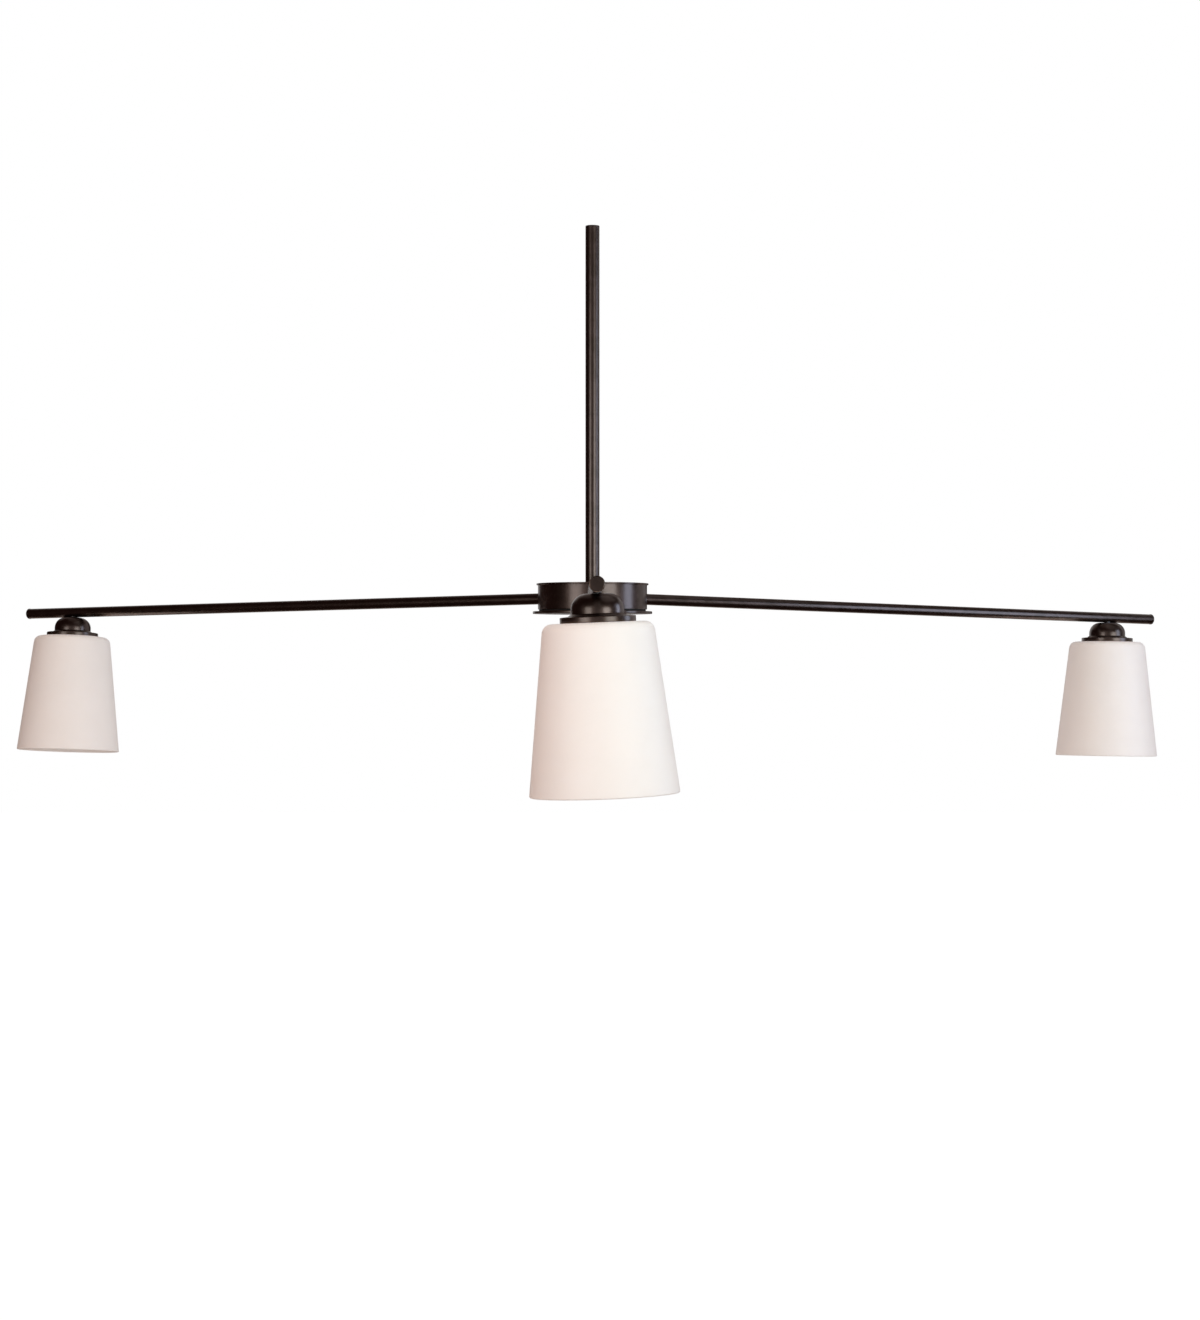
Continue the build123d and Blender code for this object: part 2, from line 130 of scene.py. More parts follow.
# Places and sizes read from the frame
def arm_place(arm: Arm) -> Matrix:
    """Place of an arm: its own X runs out along the tube, and its own Z up through the lamp.

    Args:
        arm: The arm to place.

    Returns:
        The matrix from the arm's own axes to the frame, in metres.
    """
    joints = {joint["name"]: joint for joint in frame["joints"]}
    roll = joints[f"arm_{arm.value}_roll"]
    outward = Vector(roll["axis"]).normalized()
    upward = -Vector(joints[f"bulb_{arm.value}_draw"]["axis"]).normalized()
    across = upward.cross(outward)
    place = Matrix((outward, across, upward)).transposed().to_4x4()
    place.translation = Vector(roll["pos_m"])
    return place


def box_of(node: str) -> tuple[Vector, Vector]:
    """Lowest and highest corners of a CAD node at rest, in millimetres."""
    low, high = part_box(node)
    return low / MM, high / MM


def extents(node: str) -> tuple[Vector, Vector]:
    """Lowest and highest corners of one of the front arm's CAD nodes, in that arm's own axes.

    Args:
        node: Name of the node, without the arm's name.

    Returns:
        The two corners in millimetres.
    """
    back = arm_place(Arm.FRONT).inverted()
    mesh = frame["nodes"][f"{node}_{Arm.FRONT.value}"].data
    points = [back @ vertex.co / MM for vertex in mesh.vertices]
    low = Vector([min(point[axis] for point in points) for axis in range(3)])
    high = Vector([max(point[axis] for point in points) for axis in range(3)])
    return low, high


def lamp_reach() -> float:
    """How far out along an arm its lamp's axis is, in millimetres."""
    low, high = extents("glass_shade")
    return (low.x + high.x) / 2


# Modelling
@dataclass(frozen=True)
class Corner:
    """Corner of an outline for the lathe.

    Attributes:
        radius: Distance from the spindle.
        reach: Place along the spindle.
        round: Radius of the corner's rounding, or 0 where it is sharp.
    """

    radius: float
    reach: float
    round: float = 0.0


def rounded(corners: Sequence[Corner]) -> list[Vector]:
    """Outline points, with tangent arcs at the corners that have a rounding.

    Args:
        corners: Corners of a closed outline, in order.

    Returns:
        Points of radius and reach in millimetres. The third value is how far each is rubbed, from 0 to 1.
    """
    points: list[Vector] = []
    following = [*corners[1:], corners[0]]
    sides = zip(corners, following)
    area = sum(here.radius * after.reach - after.radius * here.reach for here, after in sides)
    for before, corner, after in zip([corners[-1], *corners], corners, following):
        here = Vector((corner.radius, corner.reach))
        if corner.round == 0.0:
            points.append(here.to_3d())
            continue
        back = (Vector((before.radius, before.reach)) - here).normalized()
        ahead = (Vector((after.radius, after.reach)) - here).normalized()
        half = back.angle(ahead) / 2
        centre = here + (back + ahead).normalized() * corner.round / math.sin(half)
        spoke = here + back * corner.round / math.tan(half) - centre
        sweep = math.copysign(math.pi - 2 * half, back.y * ahead.x - back.x * ahead.y)
        steps = max(2, math.ceil(abs(sweep) / ROUND_STEP))
        stands_out = sweep * area > 0.0 and corner.round <= RUBBED_ROUND
        for step in range(steps + 1):
            point = centre + Matrix.Rotation(sweep * step / steps, 2) @ spoke
            rub = math.sin(math.pi * step / steps) if stands_out else 0.0
            points.append(Vector((point.x, point.y, rub)))
    return points


def mark_rub(piece: bpy.types.Object, outline: Sequence[Vector], spindle: Spindle) -> None:
    """Keep on each point of a turned piece how far it is rubbed, for its finish to read.

    Args:
        piece: The turned piece.
        outline: Points of radius, reach and rub that it was turned from.
        spindle: Axis of the turn.
    """
    finder = kdtree.KDTree(len(outline))
    for index, point in enumerate(outline):
        finder.insert((point.x, point.y, 0.0), index)
    finder.balance()
    along = Vector(spindle.value)
    rubs = []
    for vertex in piece.data.vertices:
        reach = vertex.co.dot(along)
        radius = (vertex.co - along * reach).length
        _, index, _ = finder.find((radius / MM, reach / MM, 0.0))
        rubs.append(outline[index].z)
    piece.data.attributes.new(RUB, "FLOAT", "POINT").data.foreach_set("value", rubs)


def select_only(piece: bpy.types.Object) -> None:
    """Select one object alone, and make it the active one.

    Args:
        piece: The object to select.
    """
    bpy.ops.object.select_all(action="DESELECT")
    piece.select_set(True)
    bpy.context.view_layer.objects.active = piece


def close_piece() -> None:
    """Merge the edited shape's seams, turn its faces outwards, leave editing and smooth its round faces."""
    bpy.ops.mesh.select_all(action="SELECT")
    bpy.ops.mesh.remove_doubles(threshold=MERGE_DISTANCE * MM)
    bpy.ops.mesh.normals_make_consistent(inside=False)
    bpy.ops.object.mode_set(mode="OBJECT")
    bpy.ops.object.transform_apply()
    bpy.ops.object.shade_smooth_by_angle(angle=SMOOTH_ANGLE)


def turned(corners: Sequence[Corner], steps: int, spindle: Spindle = Spindle.UPRIGHT) -> bpy.types.Object:
    """Turn a closed outline on the lathe: extrude a point along it, then spin it about the spindle.

    Args:
        corners: Corners of the outline.
        steps: Steps of the full turn.
        spindle: Axis of the turn.

    Returns:
        The turned piece.
    """
    outline = rounded(corners)
    outline.append(outline[0])
    upright = spindle is Spindle.UPRIGHT
    path = [Vector((point.x, 0.0, point.y) if upright else (point.y, 0.0, point.x)) * MM for point in outline]
    bpy.ops.object.select_all(action="DESELECT")
    bpy.ops.mesh.primitive_plane_add(size=MM, location=path[0])
    piece = bpy.context.active_object
    bpy.ops.object.mode_set(mode="EDIT")
    bpy.ops.mesh.merge(type="CENTER")
    for here, after in zip(path, path[1:]):
        bpy.ops.mesh.extrude_region_move(TRANSFORM_OT_translate={"value": after - here})
    bpy.ops.mesh.select_all(action="SELECT")
    bpy.ops.mesh.spin(steps=steps, angle=math.tau, center=(0.0, 0.0, 0.0), axis=spindle.value)
    close_piece()
    mark_rub(piece, outline, spindle)
    return piece


@dataclass(frozen=True)
class Thread:
    """Helical ridge round an upright wall.

    Attributes:
        root: Radius of the wall.
        depth: How far the ridge stands out of it.
        pitch: Rise in one turn.
        low: Where the wall starts.
        high: Where the wall ends.
        lead: Part of a turn that stays plain before the ridge starts.
        spare: Whole turns that the wall has room for and the ridge leaves out.
        width: Half the ridge's width, as a share of the pitch.
        sides: Sides of the ridge's section.
        steps: Steps of a turn.
    """

    root: float
    depth: float
    pitch: float
    low: float
    high: float
    lead: float = 0.5
    spare: int = 1
    width: float = 0.42
    sides: int = 8
    steps: int = 40

    def wind_on(self, piece: bpy.types.Object) -> None:
        """Wind the ridge on a piece: an oval section carried up a helix by a screw, with its ends closed.

        Args:
            piece: The piece with the wall, which the ridge is joined to.
        """
        bpy.ops.object.select_all(action="DESELECT")
        start = (self.root * MM, 0.0, (self.low + self.pitch * self.lead) * MM)
        bpy.ops.mesh.primitive_circle_add(
            vertices=self.sides, radius=MM, location=start, rotation=(math.pi / 2, 0.0, 0.0)
        )
        ridge = bpy.context.active_object
        bpy.ops.object.mode_set(mode="EDIT")
        bpy.ops.transform.resize(value=(self.depth, 1.0, self.pitch * self.width))
        bpy.ops.object.mode_set(mode="OBJECT")
        bpy.ops.object.transform_apply()
        bpy.ops.object.modifier_add(type="SCREW")
        screw = ridge.modifiers[-1]
        screw.axis = "Z"
        screw.angle = math.tau
        screw.screw_offset = self.pitch * MM
        screw.iterations = int((self.high - self.low) / self.pitch) - self.spare
        screw.steps = self.steps
        screw.render_steps = self.steps
        bpy.ops.object.modifier_apply(modifier=screw.name)
        bpy.ops.object.mode_set(mode="EDIT")
        bpy.ops.mesh.select_all(action="SELECT")
        bpy.ops.mesh.fill_holes(sides=0)
        close_piece()
        select_only(piece)
        ridge.select_set(True)
        bpy.ops.object.join()


def drill_rod(radius: float, low: float, high: float, spindle: Spindle) -> bpy.types.Object:
    """Round bar to bore with.

    Args:
        radius: Radius of the bar.
        low: Where it starts along the spindle.
        high: Where it ends along the spindle.
        spindle: Axis of the bar.

    Returns:
        The bar's object.
    """
    corners = [Corner(0.0, low), Corner(radius, low), Corner(radius, high), Corner(0.0, high)]
    return turned(corners, DRILL_STEPS, spindle)


def bore(piece: bpy.types.Object, drill: bpy.types.Object) -> None:
    """Cut a drill's shape out of a piece, and clear the drill away.

    Args:
        piece: The piece to bore.
        drill: A closed shape, which is used up.
    """
    select_only(piece)
    bpy.ops.object.modifier_add(type="BOOLEAN")
    cut = piece.modifiers[-1]
    cut.operation = "DIFFERENCE"
    cut.object = drill
    bpy.ops.object.modifier_apply(modifier=cut.name)
    bpy.ops.object.shade_smooth_by_angle(angle=SMOOTH_ANGLE)
    bpy.data.objects.remove(drill)


def sink_grooves(
    piece: bpy.types.Object, wall: float, low: float, high: float, ribs: int, depth: float
) -> None:
    """Sink the grooves between grip ribs into an upright wall.

    Args:
        piece: The piece, turned about its own Z in STEPS_PER_RIB steps to a rib.
        wall: Radius of the wall.
        low: Height where the ribs start.
        high: Height where they end.
        ribs: Number of ribs.
        depth: Depth of the grooves.
    """
    select_only(piece)
    bpy.ops.object.mode_set(mode="EDIT")
    bpy.ops.mesh.select_all(action="DESELECT")
    bpy.ops.object.mode_set(mode="OBJECT")
    for face in piece.data.polygons:
        middle = face.center / MM
        on_wall = abs(math.hypot(middle.x, middle.y) - wall) < WALL_TOLERANCE
        turn = (math.atan2(middle.y, middle.x) / math.tau) % 1.0
        in_groove = int(turn * ribs * 2) % 2 == 1
        face.select = on_wall and low < middle.z < high and in_groove
    bpy.ops.object.mode_set(mode="EDIT")
    bpy.ops.mesh.select_mode(type="FACE")
    bpy.ops.mesh.extrude_region_shrink_fatten(TRANSFORM_OT_shrink_fatten={"value": -depth * MM})
    bpy.ops.mesh.select_mode(type="VERT")
    close_piece()


# Finishes
def linear(hexadecimal: str) -> tuple[float, float, float, float]:
    """Linear colour of an sRGB hex value.

    Args:
        hexadecimal: Six hex digits after a number sign.

    Returns:
        Red, green, blue and full opacity for a colour socket.
    """
    shares = [int(hexadecimal[start : start + 2], 16) / 255 for start in (1, 3, 5)]
    red, green, blue = (
        share / 12.92 if share <= 0.04045 else ((share + 0.055) / 1.055) ** 2.4 for share in shares
    )
    return red, green, blue, 1.0


def per_metre(size: float) -> float:
    """Scale of a pattern whose features are this many millimetres across."""
    return 1.0 / (size * MM)


def empty_tree(owner: bpy.types.Material | bpy.types.World) -> bpy.types.NodeTree:
    """Node tree of a material or a world, with nothing in it yet.

    Args:
        owner: The material or world.

    Returns:
        Its node tree.
    """
    owner.use_nodes = True
    owner.node_tree.nodes.clear()
    return owner.node_tree


def add_node(
    tree: bpy.types.NodeTree, kind: str, inputs: dict[str | int, object] | None = None, **settings: object
) -> bpy.types.Node:
    """Add a shader node with its settings and links.

    Args:
        tree: Node tree that gets the node.
        kind: Type of the node, without the prefix that all shader nodes have.
        inputs: Values, or sockets to link from, by the name or number of the input.
        settings: Properties of the node.

    Returns:
        The new node.
    """
    node = tree.nodes.new(f"ShaderNode{kind}")
    for key, value in settings.items():
        setattr(node, key, value)
    for key, value in (inputs or {}).items():
        if isinstance(value, bpy.types.NodeSocket):
            tree.links.new(value, node.inputs[key])
        else:
            node.inputs[key].default_value = value
    return node


@dataclass(frozen=True)
class Finish:
    """A material's finish: a main shader with patterns in the piece's own coordinates.

    Attributes:
        name: Name of the material.
        slot: Slot of the record that the finish belongs to.
        dark: Darker tone of the surface, as sRGB hex.
        light: Lighter tone of the surface.
        gloss: Roughness where the surface is smoothest and where it is roughest.
        mottle: Size of the patches of tone, in millimetres.
        grain: Size of the fine grain, in millimetres.
        relief: Height of the grain, in millimetres.
        metallic: 1 for bare metal, 0 for the rest.
        stretch: How much longer the grain is along X, Y and Z than its size.
        coat: Weight of a clear coat, and its roughness.
        scatter: Weight of light scattered under the surface, and how far it goes in millimetres.
        rubbed: Tone of the edges that handling has rubbed, as sRGB hex, or empty where it shows none.
    """

    name: str
    slot: Slot
    dark: str
    light: str
    gloss: tuple[float, float]
    mottle: float
    grain: float
    relief: float
    metallic: float = 0.0
    stretch: tuple[float, float, float] = (1.0, 1.0, 1.0)
    coat: tuple[float, float] = (0.0, 0.03)
    scatter: tuple[float, float] = (0.0, 1.0)
    rubbed: str = ""

    @cache
    def material(self) -> bpy.types.Material:
        """Build the material once, and give the same one to every piece of this finish.

        Returns:
            The material.
        """
        material = bpy.data.materials.new(self.name)
        tree = empty_tree(material)
        place = add_node(tree, "TexCoord").outputs["Object"]
        patches = add_node(
            tree, "TexNoise", {"Vector": place, "Scale": per_metre(self.mottle), **PATCH_LAYERS}
        )
        patch = {"Value": patches.outputs["Fac"], **PATCH_RANGE}
        blend = add_node(tree, "MapRange", patch, interpolation_type="SMOOTHSTEP").outputs["Result"]
        shrink = [1.0 / times for times in self.stretch]
        along = add_node(tree, "Mapping", {"Vector": place, "Scale": shrink}).outputs["Vector"]
        grains = add_node(
            tree, "TexNoise", {"Vector": along, "Scale": per_metre(self.grain), **GRAIN_LAYERS}
        )
        grain = grains.outputs["Fac"]
        fleck = {0: grain, 1: GRAIN_SHARE, 2: blend}
        share = add_node(tree, "Math", fleck, operation="MULTIPLY_ADD").outputs["Value"]
        tones = {MIX_SHARE: share, MIX_FROM: linear(self.dark), MIX_TO: linear(self.light)}
        colour = add_node(tree, "Mix", tones, data_type="RGBA").outputs[MIX_RESULT]
        if self.rubbed:
            edges = add_node(tree, "Attribute", attribute_name=RUB).outputs["Fac"]
            worn = add_node(tree, "Math", {0: edges, 1: share}, operation="MULTIPLY").outputs["Value"]
            tones = {MIX_SHARE: worn, MIX_FROM: colour, MIX_TO: linear(self.rubbed)}
            colour = add_node(tree, "Mix", tones, data_type="RGBA").outputs[MIX_RESULT]
        smoothest, roughest = self.gloss
        polish = add_node(
            tree, "MapRange", {"Value": grain, "To Min": smoothest, "To Max": roughest, **GRAIN_RANGE}
        )
        bump = add_node(tree, "Bump", {"Height": grain, "Strength": 1.0, "Distance": self.relief * MM})
        coat_weight, coat_roughness = self.coat
        scatter_weight, scatter_reach = self.scatter
        shader = add_node(
            tree,
            "BsdfPrincipled",
            {
                "Base Color": colour,
                "Roughness": polish.outputs["Result"],
                "Normal": bump.outputs["Normal"],
                "Metallic": self.metallic,
                "Coat Weight": coat_weight,
                "Coat Roughness": coat_roughness,
                "Subsurface Weight": scatter_weight,
                "Subsurface Scale": scatter_reach * MM,
                "Subsurface Radius": SCATTER_SHARES,
            },
        )
        add_node(tree, "OutputMaterial", {"Surface": shader.outputs["BSDF"]})
        return material


# Oil-rubbed bronze: metal darkened in a bath, rubbed back with an oiled cloth and lacquered. It gives a brown
# sheen in a broad soft highlight, a sharper grey one from the lacquer, a cloudy tone, and paler edges where
# the cloth took more off. Its marks are finer than a hair, and are drawn 1.6 mm wide so that they show.
BRONZE = Finish(
    "oil_rubbed_bronze",
    Slot.BRONZE,
    dark="#58493F",
    light="#6B5951",
    metallic=1.0,
    gloss=(0.31, 0.38),
    mottle=14.0,
    grain=1.6,
    relief=0.03,
    coat=(1.0, 0.2),
    rubbed="#8E7460",
)
# The same bath where the cloth didn't reach, in the groove round the hub, with the groove's shade painted in:
# nearly black, and dull with a bloom that is drawn coarser than real.
PATINA_AND_PAINTED_SHADE = Finish(
    "patina_and_painted_groove_shade",
    Slot.BRONZE,
    dark="#15110F",
    light="#211A17",
    gloss=(0.6, 0.75),
    mottle=8.0,
    grain=1.0,
    relief=0.03,
)
# Cased opal glass, blown in a mould and etched to a satin: milky white that glows a little at thin edges and
# has no clear reflections. The etch is too fine to draw, so what shows is the faint waviness from the mould.
OPAL = Finish(
    "satin_opal_glass",
    Slot.OPAL_GLASS,
    dark="#F9F5F2",
    light="#FBF7F4",
    gloss=(0.42, 0.5),
    mottle=45.0,
    grain=9.0,
    relief=0.02,
    scatter=(0.25, 6.0),
)
# Bulb glass, blown thin and coated inside with a white powder: an even milky globe under a smooth outer skin.
# The powder is too fine to draw, so what shows is where it lies a little thicker.
FROSTED = Finish(
    "frosted_bulb_glass",
    Slot.BULB_GLASS,
    dark="#EFEBE3",
    light="#F5F2EC",
    gloss=(0.22, 0.3),
    mottle=30.0,
    grain=6.0,
    relief=0.01,
    scatter=(0.3, 4.0),
)
# Aluminium sheet, pressed and rolled into a screw cap: bright, with a fine haze from the rolls that is drawn
# coarser than real.
ALUMINIUM = Finish(
    "rolled_aluminium",
    Slot.BULB_CAP,
    dark="#B9B9BA",
    light="#D2D2D1",
    metallic=1.0,
    gloss=(0.26, 0.4),
    mottle=5.0,
    grain=0.8,
    relief=0.01,
)
# Vitrite, the black glass poured round a bulb's tip: smooth and shiny, with faint ripples from the pour.
VITRITE = Finish(
    "black_vitrite",
    Slot.BULB_CAP,
    dark="#141317",
    light="#1F1D20",
    gloss=(0.1, 0.2),
    mottle=4.0,
    grain=1.0,
    relief=0.01,
)
# Phenolic resin, pressed hot in a steel mould: hard and nearly black, with a faint flow pattern, a dull shine
# and the grain of its filler, which is drawn coarser than real.
PHENOLIC = Finish(
    "moulded_phenolic",
    Slot.HOLDER,
    dark="#211D1B",
    light="#2E2926",
    gloss=(0.36, 0.5),
    mottle=9.0,
    grain=0.9,
    relief=0.02,
)
# The same resin in the ring, from another mould that left it browner and rougher, with its grain as coarse.
RING_PHENOLIC = Finish(
    "moulded_ring_phenolic",
    Slot.RING,
    dark="#2A2320",
    light="#382F2A",
    gloss=(0.42, 0.58),
    mottle=7.0,
    grain=0.8,
    relief=0.03,
)
# Brass sheet, drawn into a shell: warm yellow metal with streaks along the draw, drawn coarser than real.
BRASS = Finish(
    "drawn_brass",
    Slot.BRASS,
    dark="#A9833F",
    light="#CFAA5F",
    metallic=1.0,
    gloss=(0.24, 0.4),
    mottle=6.0,
    grain=0.6,
    relief=0.01,
    stretch=(1.0, 1.0, 8.0),
)
# Steel plated with zinc in a bath: pale grey with a cloudy bloom, which is drawn coarser than real.
ZINC = Finish(
    "zinc_plated_steel",
    Slot.ZINC,
    dark="#8E9194",
    light="#B7B8B6",
    metallic=1.0,
    gloss=(0.3, 0.46),
    mottle=3.0,
    grain=0.7,
    relief=0.01,
)
# Urea resin of the terminal block, pressed in a mould: off-white and dull, its filler's grain drawn coarser
# than real.
UREA = Finish(
    "moulded_urea",
    Slot.TERMINAL,
    dark="#D6D2C6",
    light="#E4E1D8",
    gloss=(0.42, 0.55),
    mottle=8.0,
    grain=0.8,
    relief=0.02,
)
# Rubber sheath of the leads, extruded and dusted with talc: black and matt, with talc caught in its skin in
# specks that are drawn coarser than real.
RUBBER = Finish(
    "rubber_lead_sheath",
    Slot.LEAD,
    dark="#1D1B1A",
    light="#2B2826",
    gloss=(0.6, 0.75),
    mottle=6.0,
    grain=0.7,
    relief=0.03,
)
# The main finish of each slot, for the CAD shapes that stay.
FINISHES = (BRONZE, OPAL, FROSTED, ALUMINIUM, PHENOLIC, RING_PHENOLIC, BRASS, ZINC, UREA, RUBBER)


# Handing pieces over to the frame
def paint_band(
    piece: bpy.types.Object, main: Finish, band: Finish, low: float, high: float, within: float = math.inf
) -> None:
    """Give a piece its finish, and another one to the faces between two heights.

    Args:
        piece: The piece, turned about its own Z.
        main: Finish of the piece.
        band: Finish of the band.
        low: Height where the band starts.
        high: Height where it ends.
        within: Radius that the band's faces lie inside.
    """
    for finish in (main, band):
        piece.data.materials.append(finish.material())
    for face in piece.data.polygons:
        middle = face.center / MM
        if low < middle.z < high and math.hypot(middle.x, middle.y) < within:
            face.material_index = 1


def dress(piece: bpy.types.Object, node: str, finish: Finish, body: str) -> None:
    """Give a finished piece its name, material and body, and let it stand for its CAD node.

    Args:
        piece: The finished piece, in place.
        node: CAD node that it stands for.
        finish: Its finish.
        body: Body that it moves with.
    """
    piece.name = f"finished_{node}"
    piece.data.name = piece.name
    if not piece.data.materials:
        piece.data.materials.append(finish.material())
    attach(piece, body)
    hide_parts(node)
    LOG.info("%s: %d faces in %s, on %s", piece.name, len(piece.data.polygons), finish.name, body)


def hang_copies(
    master: bpy.types.Object, node: str, finish: Finish, body: str = "arm", reach: float = 0.0
) -> None:
    """Copy a piece that is modelled in an arm's own axes to each arm, and clear the first one away.

    Args:
        master: The piece, modelled once.
        node: CAD node that it stands for, without the arm's name.
        finish: Its finish.
        body: Body that it moves with, without the arm's name.
        reach: How far out along the arm it goes from where it was modelled.
    """
    for arm in Arm:
        select_only(master)
        bpy.ops.object.duplicate(linked=False)
        piece = bpy.context.active_object
        piece.matrix_world = arm_place(arm) @ Matrix.Translation((reach * MM, 0.0, 0.0))
        bpy.ops.object.transform_apply()
        dress(piece, f"{node}_{arm.value}", finish, f"{body}_{arm.value}")
    bpy.data.objects.remove(master)


def dress_inner_nodes() -> None:
    """Give each CAD node that is still shown the material of its slot."""
    slots = {part["node"]: part["material_slot"] for part in frame["record"]["subparts"]}
    finishes = {finish.slot.value: finish for finish in FINISHES}
    for name, node in frame["nodes"].items():
        if node.hide_render:
            continue
        finish = finishes[slots[name]]
        node.data.materials.clear()
        node.data.materials.append(finish.material())
        LOG.info("%s: CAD shape in %s", name, finish.name)


# Sub-assemblies
@dataclass
class Stem:
    """Stem tube with the threaded coupling in its top end."""

    wall: float = 1.6
    edge: float = 0.4
    thread_depth: float = 0.5
    thread_pitch: float = 1.0
    thread_spare: int = 2
    mouth_bevel: float = 0.4
    steps: int = 96

    def build(self) -> None:
        """Turn the tube and the coupling, and dress them."""
        low, high = box_of("stem_tube")
        bore_radius = high.x - self.wall
        corners = [
            Corner(high.x, low.z),
            Corner(high.x, high.z - self.edge, self.edge / 2),
            Corner(high.x - self.edge, high.z, self.edge / 4),
            Corner(bore_radius, high.z, self.edge / 4),
            Corner(bore_radius, low.z),
        ]
        dress(turned(corners, self.steps), "stem_tube", BRONZE, "frame")
        self.build_coupling()

    def build_coupling(self) -> None:
        """Turn the top coupling, with its thread wound inside."""
        low, high = box_of("stem_top_coupling")
        mounts = {mount["name"]: mount for mount in frame["record"]["mounts"]}
        root = mounts["stem_top"]["dims"]["r_mm"] + self.thread_depth
        corners = [
            Corner(high.x, low.z),
            Corner(high.x, high.z, self.edge / 4),
            Corner(root + self.mouth_bevel, high.z),
            Corner(root, high.z - self.mouth_bevel),
            Corner(root, low.z),
        ]
        coupling = turned(corners, self.steps // 2)
        thread = Thread(root, self.thread_depth, self.thread_pitch, low.z, high.z, spare=self.thread_spare)
        thread.wind_on(coupling)
        dress(coupling, "stem_top_coupling", ZINC, "frame")


@dataclass
class Hub:
    """Drum hub: top plate, drum wall with a hole for each arm, cover and the domed nut under it."""

    rod_hole: float = 5.3
    drum_wall: float = 2.0
    drum_edge: float = 0.25
    plate_edge: float = 0.5
    nipple_hole: float = 5.15
    spigot: float = 59.4
    spigot_wall: float = 1.5
    ledge: float = 60.4
    ledge_gap: float = 0.3
    cover_thick: float = 2.7
    nut_bore: float = 5.05
    nut_round: float = 6.5
    nut_end: float = 3.7
    nut_ribs: int = 32
    rib_depth: float = 0.3
    steps: int = 160

    def build(self) -> None:
        """Turn the hub's pieces, and dress them."""
        self.build_plate()
        self.build_drum()
        self.build_cover()
        self.build_nut()

    def build_plate(self) -> None:
        """Turn the top plate."""
        low, high = box_of("hub_top_plate")
        corners = [
            Corner(self.rod_hole, high.z),
            Corner(high.x, high.z, self.plate_edge),
            Corner(high.x, low.z, self.plate_edge),
            Corner(self.rod_hole, low.z),
        ]
        dress(turned(corners, self.steps), "hub_top_plate", BRONZE, "frame")

    def build_drum(self) -> None:
        """Turn the drum, and bore it on each arm's axis."""
        low, high = box_of("hub_drum")
        inside = high.x - self.drum_wall
        corners = [
            Corner(inside, high.z),
            Corner(high.x, high.z, self.drum_edge),
            Corner(high.x, low.z, self.drum_edge),
            Corner(inside, low.z, self.drum_edge),
        ]
        drum = turned(corners, self.steps)
        drill_start = inside - self.drum_wall
        drill_end = high.x + self.drum_wall
        for arm in Arm:
            drill = drill_rod(self.nipple_hole, drill_start, drill_end, Spindle.ALONG_ARM)
            drill.matrix_world = arm_place(arm)
            bore(drum, drill)
        dress(drum, "hub_drum", BRONZE, "frame")

    def build_cover(self) -> None:
        """Turn the cover, with the ledge that keeps the shadow line open and the spigot inside the drum, and paint
        shade into the groove.
        """
        low, high = box_of("hub_cover")
        drum_base = box_of("hub_drum")[0].z
        top = low.z + self.cover_thick
        corners = [
            Corner(self.rod_hole, top),
            Corner(self.spigot - self.spigot_wall, top),
            Corner(self.spigot - self.spigot_wall, high.z, self.drum_edge),
            Corner(self.spigot, high.z, self.drum_edge),
            Corner(self.spigot, drum_base - self.ledge_gap),
            Corner(self.ledge, drum_base - self.ledge_gap),
            Corner(self.ledge, top),
            Corner(high.x, top, self.plate_edge),
            Corner(high.x, low.z, self.plate_edge),
            Corner(self.rod_hole, low.z),
        ]
        cover = turned(corners, self.steps)
        # Painted shade: the faces in the groove under the drum get the nearly black finish, over the patina.
        paint_band(cover, BRONZE, PATINA_AND_PAINTED_SHADE, top, drum_base, self.ledge)
        dress(cover, "hub_cover", BRONZE, "hub_cover")

    def build_nut(self) -> None:
        """Turn the domed nut, and sink grip grooves in its rim."""
        low, high = box_of("hub_cap_nut")
        bore_end = low.z + self.nut_end
        corners = [
            Corner(self.nut_bore, high.z),
            Corner(high.x, high.z, self.plate_edge),
            Corner(high.x, low.z, self.nut_round),
            Corner(0.0, low.z),
            Corner(0.0, bore_end),
            Corner(self.nut_bore, bore_end),
        ]
        nut = turned(corners, self.nut_ribs * STEPS_PER_RIB)
        rim_base = low.z + self.nut_round
        rim_top = high.z - self.plate_edge
        sink_grooves(nut, high.x, rim_base, rim_top, self.nut_ribs, self.rib_depth)
        dress(nut, "hub_cap_nut", BRONZE, "hub_cover")


